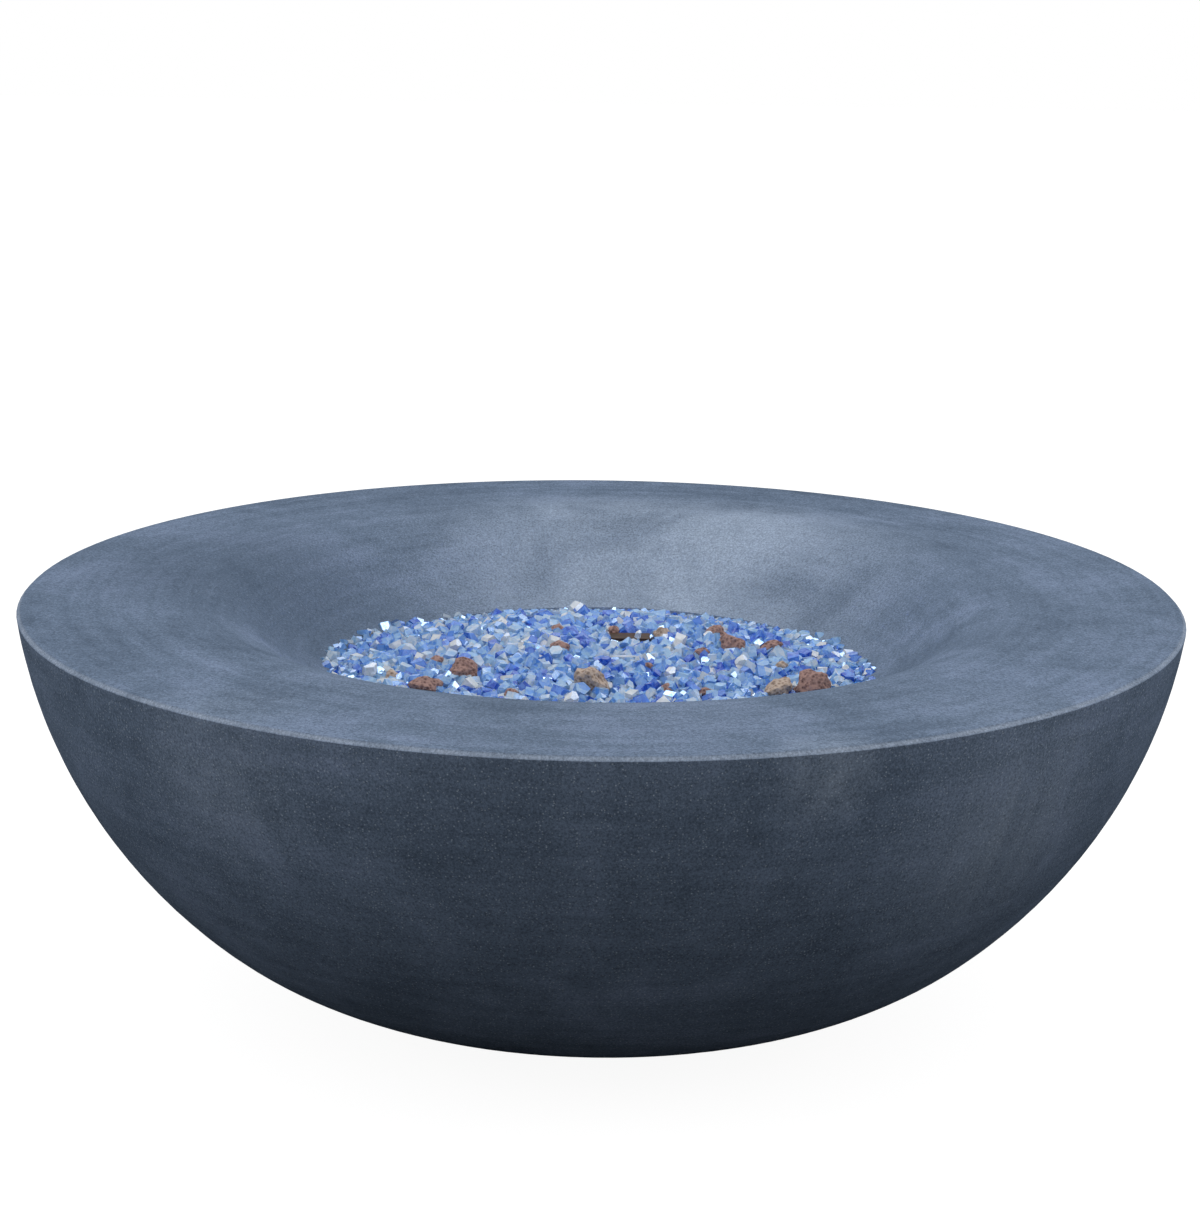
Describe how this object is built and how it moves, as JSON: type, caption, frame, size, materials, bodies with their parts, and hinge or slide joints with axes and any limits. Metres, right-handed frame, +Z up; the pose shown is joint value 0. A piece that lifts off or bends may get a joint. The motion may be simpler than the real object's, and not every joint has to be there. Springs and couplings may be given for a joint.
{
  "type": "gas fire bowl",
  "caption": "Round cast-concrete gas fire bowl with a dished rim, a burner pan filled with fire glass and rear controls.",
  "frame": {"origin": "on the ground under the middle of the bowl, where the feet rest", "axes": "+Z up; +Y towards the rear wall with the controls; +X to the right seen from the front"},
  "size_m": [1.0666, 1.0668, 0.381],
  "materials": {
    "concrete": "matte",
    "stainless": "brushed",
    "heated_steel": "heat tinted",
    "brass": "satin",
    "aluminium": "satin",
    "plated_steel": "satin",
    "ceramic": "matte",
    "black_plastic": "satin",
    "cell_sleeve": "gloss",
    "silicone": "satin",
    "copper": "satin",
    "rubber": "matte",
    "lava_rock": "matte",
    "blue_glass": "gloss",
    "clear_glass": "gloss",
    "glass_bed": "gloss"
  },
  "bodies": {
    "bowl": {"bowl_shell": "concrete", "burner_pan": "stainless", "ring_burner": "stainless", "burner_lock_nut": "brass", "air_mixer": "brass", "gas_orifice": "brass", "orifice_elbow": "brass", "pilot_hood": "heated_steel", "bracket_screws": "plated_steel", "electrode_insulator": "ceramic", "spark_electrode": "plated_steel", "flame_sensor": "plated_steel", "control_panel": "stainless", "panel_screws": "plated_steel", "valve_screws": "plated_steel", "shield_screws": "plated_steel", "panel_anchors": "brass", "heat_shield": "stainless", "valve_body": "aluminium", "valve_cap": "aluminium", "valve_cap_screws": "plated_steel", "igniter_housing": "black_plastic", "igniter_nut": "black_plastic", "battery_cell": "cell_sleeve", "gas_inlet_fitting": "brass", "inlet_lock_nut": "brass", "inlet_tube": "aluminium", "main_gas_tube": "aluminium", "valve_tube_nuts": "brass", "elbow_tube_nut": "brass", "spark_lead": "silicone", "sensor_lead": "copper", "foot_inserts": "brass", "lava_rock_filler": "lava_rock", "fire_glass_bed": "glass_bed", "blue_fire_glass": "blue_glass", "clear_fire_glass": "clear_glass", "lava_rocks": "lava_rock"},
    "air_shutter": {"air_shutter": "stainless"},
    "valve_plug": {"valve_plug": "brass"},
    "knob": {"control_knob": "black_plastic", "valve_stem": "plated_steel"},
    "igniter_cap": {"igniter_cap": "black_plastic"},
    "igniter_button": {"igniter_button": "black_plastic"},
    "foot_front_left": {"foot_pad_front_left": "rubber", "foot_stud_front_left": "plated_steel"},
    "foot_rear_left": {"foot_pad_rear_left": "rubber", "foot_stud_rear_left": "plated_steel"},
    "foot_front_right": {"foot_pad_front_right": "rubber", "foot_stud_front_right": "plated_steel"},
    "foot_rear_right": {"foot_pad_rear_right": "rubber", "foot_stud_rear_right": "plated_steel"}
  },
  "joints": [
    {"name": "knob_turn", "type": "hinge", "parent": "bowl", "child": "valve_plug", "pos_m": [0, 0.48726, 0.23], "axis": [0, 0.8899, -0.4561], "range_deg": [0, 90]},
    {"name": "knob_push", "type": "slide", "parent": "valve_plug", "child": "knob", "axis": [0, -0.8899, 0.4561], "range_m": [0, 0.003], "stiffness_N_per_m": 1500, "springref_m": -0.003},
    {"name": "igniter_cap_unscrew", "type": "slide", "parent": "bowl", "child": "igniter_cap", "axis": [0, 0.8899, -0.4561], "range_m": [0, 0.012]},
    {"name": "igniter_press", "type": "slide", "parent": "igniter_cap", "child": "igniter_button", "axis": [0, -0.8899, 0.4561], "range_m": [0, 0.003], "stiffness_N_per_m": 1000, "springref_m": -0.003},
    {"name": "air_shutter_turn", "type": "hinge", "parent": "bowl", "child": "air_shutter", "pos_m": [0, 0, 0.16], "axis": [0, 0, 1], "range_deg": [0, 60]},
    {"name": "front_left_foot_height", "type": "slide", "parent": "bowl", "child": "foot_front_left", "axis": [0, 0, -1], "range_m": [0, 0.012]},
    {"name": "rear_left_foot_height", "type": "slide", "parent": "bowl", "child": "foot_rear_left", "axis": [0, 0, -1], "range_m": [0, 0.012]},
    {"name": "front_right_foot_height", "type": "slide", "parent": "bowl", "child": "foot_front_right", "axis": [0, 0, -1], "range_m": [0, 0.012]},
    {"name": "rear_right_foot_height", "type": "slide", "parent": "bowl", "child": "foot_rear_right", "axis": [0, 0, -1], "range_m": [0, 0.012]}
  ]
}
